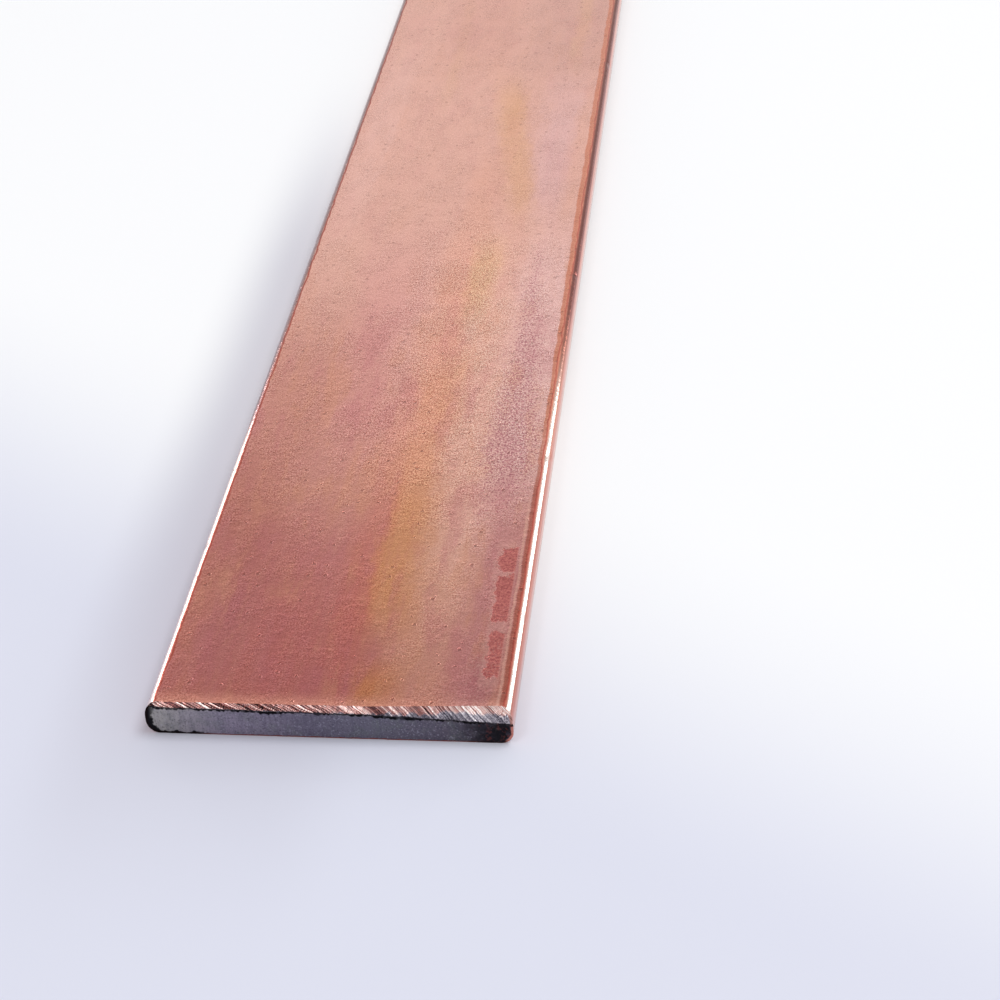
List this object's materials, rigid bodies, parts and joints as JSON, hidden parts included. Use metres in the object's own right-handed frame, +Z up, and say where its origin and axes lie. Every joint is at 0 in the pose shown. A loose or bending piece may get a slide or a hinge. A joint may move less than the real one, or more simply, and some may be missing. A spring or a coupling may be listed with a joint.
{
  "type": "copper-clad aluminium busbar",
  "caption": "Flat copper-clad aluminium busbar with rounded edges, one end filed, used as a power distribution conductor.",
  "frame": {"origin": "centre of the bar's footprint, on its underside", "axes": "+Y along the length, away from the filed end; +X across the width; +Z up through the thickness"},
  "size_m": [0.05, 0.5, 0.005],
  "materials": {
    "copper": "satin",
    "aluminium": "matte"
  },
  "bodies": {
    "root": {"copper_cladding": "copper", "aluminium_core": "aluminium"}
  },
  "joints": []
}
